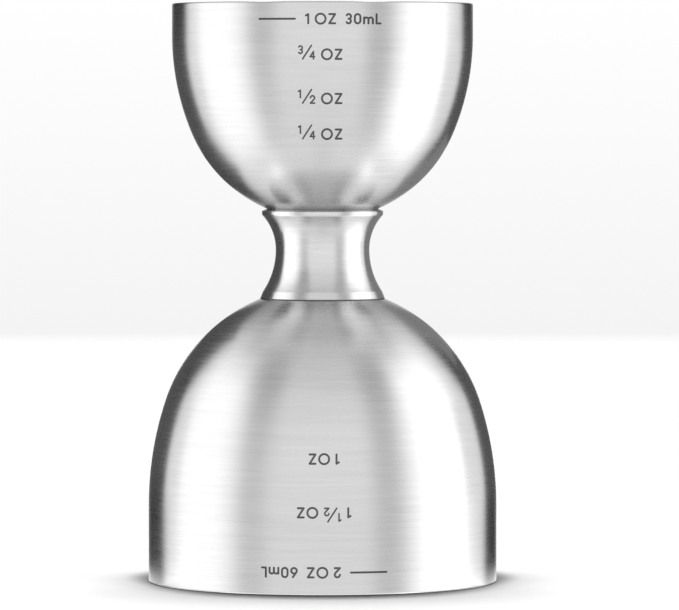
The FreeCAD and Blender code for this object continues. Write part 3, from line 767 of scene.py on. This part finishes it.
cup_steel = brushed_steel("cup_steel", CUP_TONE, CUP_ROUGHNESS, CUP_ANISOTROPY)
collar_steel = brushed_steel("collar_steel", COLLAR_TONE, COLLAR_ROUGHNESS, COLLAR_ANISOTROPY)
finish_piece(cup("large_cup", "large"), cup_steel, "cup_steel", "lower_cup")
finish_piece(cup("small_cup", "small", OVERALL_HEIGHT), cup_steel, "cup_steel", "upper_cup")
finish_piece(neck_collar(), collar_steel, "collar_steel", "neck_collar")

alloy = brazing_alloy("brazing_alloy")
for name in ("lower_brazing_ring", "upper_brazing_ring"):
    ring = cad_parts[name]
    ring.data.materials.clear()
    ring.data.materials.append(alloy)


# ---- studio ----

def glowing(name):
    """Light whose brightness is each vertex's glow. None of it reaches the paper by way of the steel."""
    material, tree = blank_material(name)
    glow = wired(tree, "Attribute", attribute_name="glow").outputs["Fac"]
    from_paper = wired(tree, "LightPath").outputs["Diffuse Depth"]
    strength = wired(tree, "Mix", {"Factor": from_paper, "A": glow, "B": 0.0}).outputs["Result"]
    light = wired(tree, "Emission", {"Color": WHITE, "Strength": strength})
    wired(tree, "OutputMaterial", {"Surface": light.outputs[0]})
    return material


def staged(name, corners, faces, material):
    mesh = bpy.data.meshes.new(name)
    mesh.from_pydata(corners, [], faces)
    mesh.materials.append(material)
    made = bpy.data.objects.new(name, mesh)
    bpy.context.scene.collection.objects.link(made)
    return made


def show_in_reflections_only(made):
    made.visible_camera = False
    made.visible_diffuse = False
    made.visible_shadow = False


def share(value, low, high, soft):
    """1 well between low and high, 0 well outside, with edges that fade over soft."""
    def ramp(t):
        t = np.clip(t, 0.0, 1.0)
        return t * t * (3 - 2 * t)
    return ramp((value - low) / soft + 0.5) * ramp((high - value) / soft + 0.5)


def brightness(azimuth, elevation):
    """Brightness of the tent in directions, in degrees: 0 is the front and 90 is the right."""
    found = np.interp(elevation, TENT_ELEVATIONS, TENT_GLOW)
    for first, last, low, high, soft, strength in PANELS:
        part = share(azimuth, first, last, soft) * share(elevation, low, high, soft)
        found += (strength - found) * part
    turn, rise = np.radians(azimuth), np.radians(elevation)
    across, ahead = np.cos(rise) * np.sin(turn), np.cos(rise) * np.cos(turn) + 1
    mirror_turn = np.degrees(np.arctan2(across, ahead))
    mirror_rise = np.degrees(np.arctan2(np.sin(rise), np.hypot(across, ahead)))
    for first, last, low, high, soft, strength in STREAKS:
        part = share(mirror_turn, first, last, soft) * share(mirror_rise, low, high, STREAK_FADE)
        found += (strength - found) * part
    return found


def tent():
    """Round light tent that only reflections show: soft bright and dark panels on a white ground."""
    columns, rows = TENT_CELLS
    azimuth = np.tile(np.linspace(-180, 180, columns, endpoint=False), rows + 1)
    elevation = np.repeat(np.linspace(-90, 90, rows + 1), columns)
    turn, rise = np.radians(azimuth), np.radians(elevation)
    across = np.cos(rise) * TENT_RADIUS
    heights = np.sin(rise) * TENT_RADIUS + TENT_HEIGHT
    corners = np.stack((across * np.sin(turn), -across * np.cos(turn), heights), axis=1)
    faces = [(row * columns + column, row * columns + (column + 1) % columns,
              (row + 1) * columns + (column + 1) % columns, (row + 1) * columns + column)
             for row in range(rows) for column in range(columns)]
    material = glowing("tent")
    material.cycles.emission_sampling = "NONE"
    made = staged("tent", corners.tolist(), faces, material)
    glow = made.data.attributes.new("glow", "FLOAT", "POINT")
    glow.data.foreach_set("value", brightness(azimuth, elevation).astype(np.float32))
    show_in_reflections_only(made)


def card(name, first, last, columns, rows, material):
    """Curved card around the axis, from one azimuth to another, that only reflections show. Each of its rows
    is a distance from the axis and a height."""
    corners = []
    for radius, height in rows:
        for i in range(columns + 1):
            turn = math.radians(first + (last - first) * i / columns)
            corners.append((math.sin(turn) * radius, -math.cos(turn) * radius, height))
    wide = columns + 1
    faces = [(corner, corner + 1, corner + wide + 1, corner + wide)
             for row in range(len(rows) - 1) for corner in range(row * wide, row * wide + columns)]
    show_in_reflections_only(staged(name, corners, faces, material))


def neck_flag(name, first, last, strength):
    """Small dark card beside the neck."""
    material, tree = blank_material("flag")
    dark = wired(tree, "Emission", {"Color": WHITE, "Strength": strength})
    wired(tree, "OutputMaterial", {"Surface": dark.outputs[0]})
    card(name, first, last, FLAG_COLUMNS, [(FLAG_RADIUS, height) for height in FLAG_SPAN], material)


def floor_glint(name, first, last):
    """Light patch on the floor beside the rim. It fades with the distance from the axis and doesn't hide what
    is behind it."""
    material, tree = blank_material("glint")
    place = wired(tree, "TexCoord").outputs["Object"]
    out = wired(tree, "VectorMath", {0: place}, operation="LENGTH").outputs["Value"]
    strength = remapped(tree, out, GLINT_SPAN, (GLINT, 0.0))
    light = wired(tree, "Emission", {"Color": WHITE, "Strength": strength})
    through = wired(tree, "BsdfTransparent")
    both = wired(tree, "AddShader", {0: light.outputs[0], 1: through.outputs[0]})
    wired(tree, "OutputMaterial", {"Surface": both.outputs[0]})
    near, far = GLINT_SPAN
    rows = [(near + (far - near) * i / GLINT_ROWS, GLINT_HEIGHT) for i in range(GLINT_ROWS + 1)]
    card(name, first, last, GLINT_COLUMNS, rows, material)


def floor():
    """Pale paper, painted a little darker behind, where the light is strongest. A shade is painted into its
    colour close around the rim, where the cup keeps the light off: narrowly at the sides, where the large
    lights are, and wider in front and behind."""
    material, tree = blank_material("floor")
    place = wired(tree, "TexCoord").outputs["Object"]
    out = wired(tree, "VectorMath", {0: place}, operation="LENGTH").outputs["Value"]
    across = wired(tree, "SeparateXYZ", {"Vector": place}).outputs

    # side is 1 at the sides of the axis and 0 in front and behind
    side = calculated(tree, "ABSOLUTE", calculated(tree, "DIVIDE", across["X"], out))
    side = calculated(tree, "POWER", side, SIDE_FOCUS)
    centre = wired(tree, "CombineXYZ", {"Y": calculated(tree, "MULTIPLY", side, SIDE_SHIFT)}).outputs[0]
    away = wired(tree, "VectorMath", {0: place, 1: centre}, operation="DISTANCE").outputs["Value"]
    end = wired(tree, "Mix", {"Factor": side, "A": PAINTED_SHADE_END, "B": SIDE_PAINTED_SHADE_END}).outputs["Result"]

    smooth = {"interpolation_type": "SMOOTHSTEP"}
    # painted shade: the paper's colour darkened close around the rim, and a fainter painted shade a little
    # wider
    shade = remapped(tree, away, (PAINTED_SHADE_START, end), (PAINTED_SHADE_TONE, 1.0), **smooth)
    faint = remapped(tree, away, FAINT_PAINTED_SHADE_SPAN, (FAINT_PAINTED_SHADE_TONE, 1.0))
    # the paper's tone, with a shade painted in behind the axis, where the backlight is strongest
    paper = remapped(tree, across["Y"], PAINTED_BACK_SHADE_SPAN, PAPER_TONE_AND_PAINTED_BACK_SHADE, **smooth)
    tone = calculated(tree, "MULTIPLY", calculated(tree, "MULTIPLY", shade, faint), paper)
    shader = wired(tree, "BsdfPrincipled", {"Base Color": grey(tree, tone), "Roughness": PAPER_ROUGHNESS,
                                            "Specular IOR Level": PAPER_SPECULAR})
    wired(tree, "OutputMaterial", {"Surface": shader.outputs[0]})
    signs = ((-1, -1), (1, -1), (1, 1), (-1, 1))
    corners = [(x * FLOOR_REACH, y * FLOOR_REACH, FLOOR_HEIGHT) for x, y in signs]
    made = staged("floor", corners, [(0, 1, 2, 3)], material)
    made.visible_glossy = False


def sky():
    """Pale background, a little darker low down but blending into the floor, and the light on the floor."""
    world = bpy.data.worlds.new("studio")
    bpy.context.scene.world = world
    world.use_nodes = True
    tree = world.node_tree
    tree.nodes.clear()
    direction = wired(tree, "TexCoord").outputs["Generated"]
    height = wired(tree, "SeparateXYZ", {"Vector": direction}).outputs["Z"]
    seen = remapped(tree, height, BACKGROUND_SPAN, BACKGROUND_GLOW)
    blend = remapped(tree, height, HORIZON_SPAN, (1.0, 0.0), interpolation_type="SMOOTHSTEP")
    seen = wired(tree, "Mix", {"Factor": blend, "A": seen, "B": 1.0}).outputs["Result"]
    by_camera = wired(tree, "LightPath").outputs["Is Camera Ray"]
    strength = wired(tree, "Mix", {"Factor": by_camera, "A": SKY_LIGHT, "B": seen}).outputs["Result"]
    back = wired(tree, "Background", {"Color": WHITE, "Strength": strength})
    wired(tree, "OutputWorld", {"Surface": back.outputs[0]})

    lamp = bpy.data.lights.new("backlight", "SUN")
    lamp.angle = BACKLIGHT_SPREAD
    lamp.energy = BACKLIGHT
    hung = bpy.data.objects.new("backlight", lamp)
    hung.rotation_euler = (BACKLIGHT_TILT, 0, 0)
    hung.visible_glossy = False
    bpy.context.scene.collection.objects.link(hung)


tent()
for glint, azimuths in GLINTS.items():
    floor_glint(glint, *azimuths)
for flag, look in FLAGS.items():
    neck_flag(flag, *look)
floor()
sky()


# ---- camera ----

def camera():
    made = bpy.data.objects.new("camera", bpy.data.cameras.new("camera"))
    made.data.lens = LENS
    made.data.sensor_width = SENSOR_WIDTH
    made.data.clip_start = CLIP_START
    made.location = CAMERA_PLACE
    made.rotation_euler = (math.pi / 2 - CAMERA_DIP, 0, 0)
    bpy.context.scene.collection.objects.link(made)
    bpy.context.scene.camera = made


camera()
bpy.context.scene.view_settings.view_transform = "Standard"
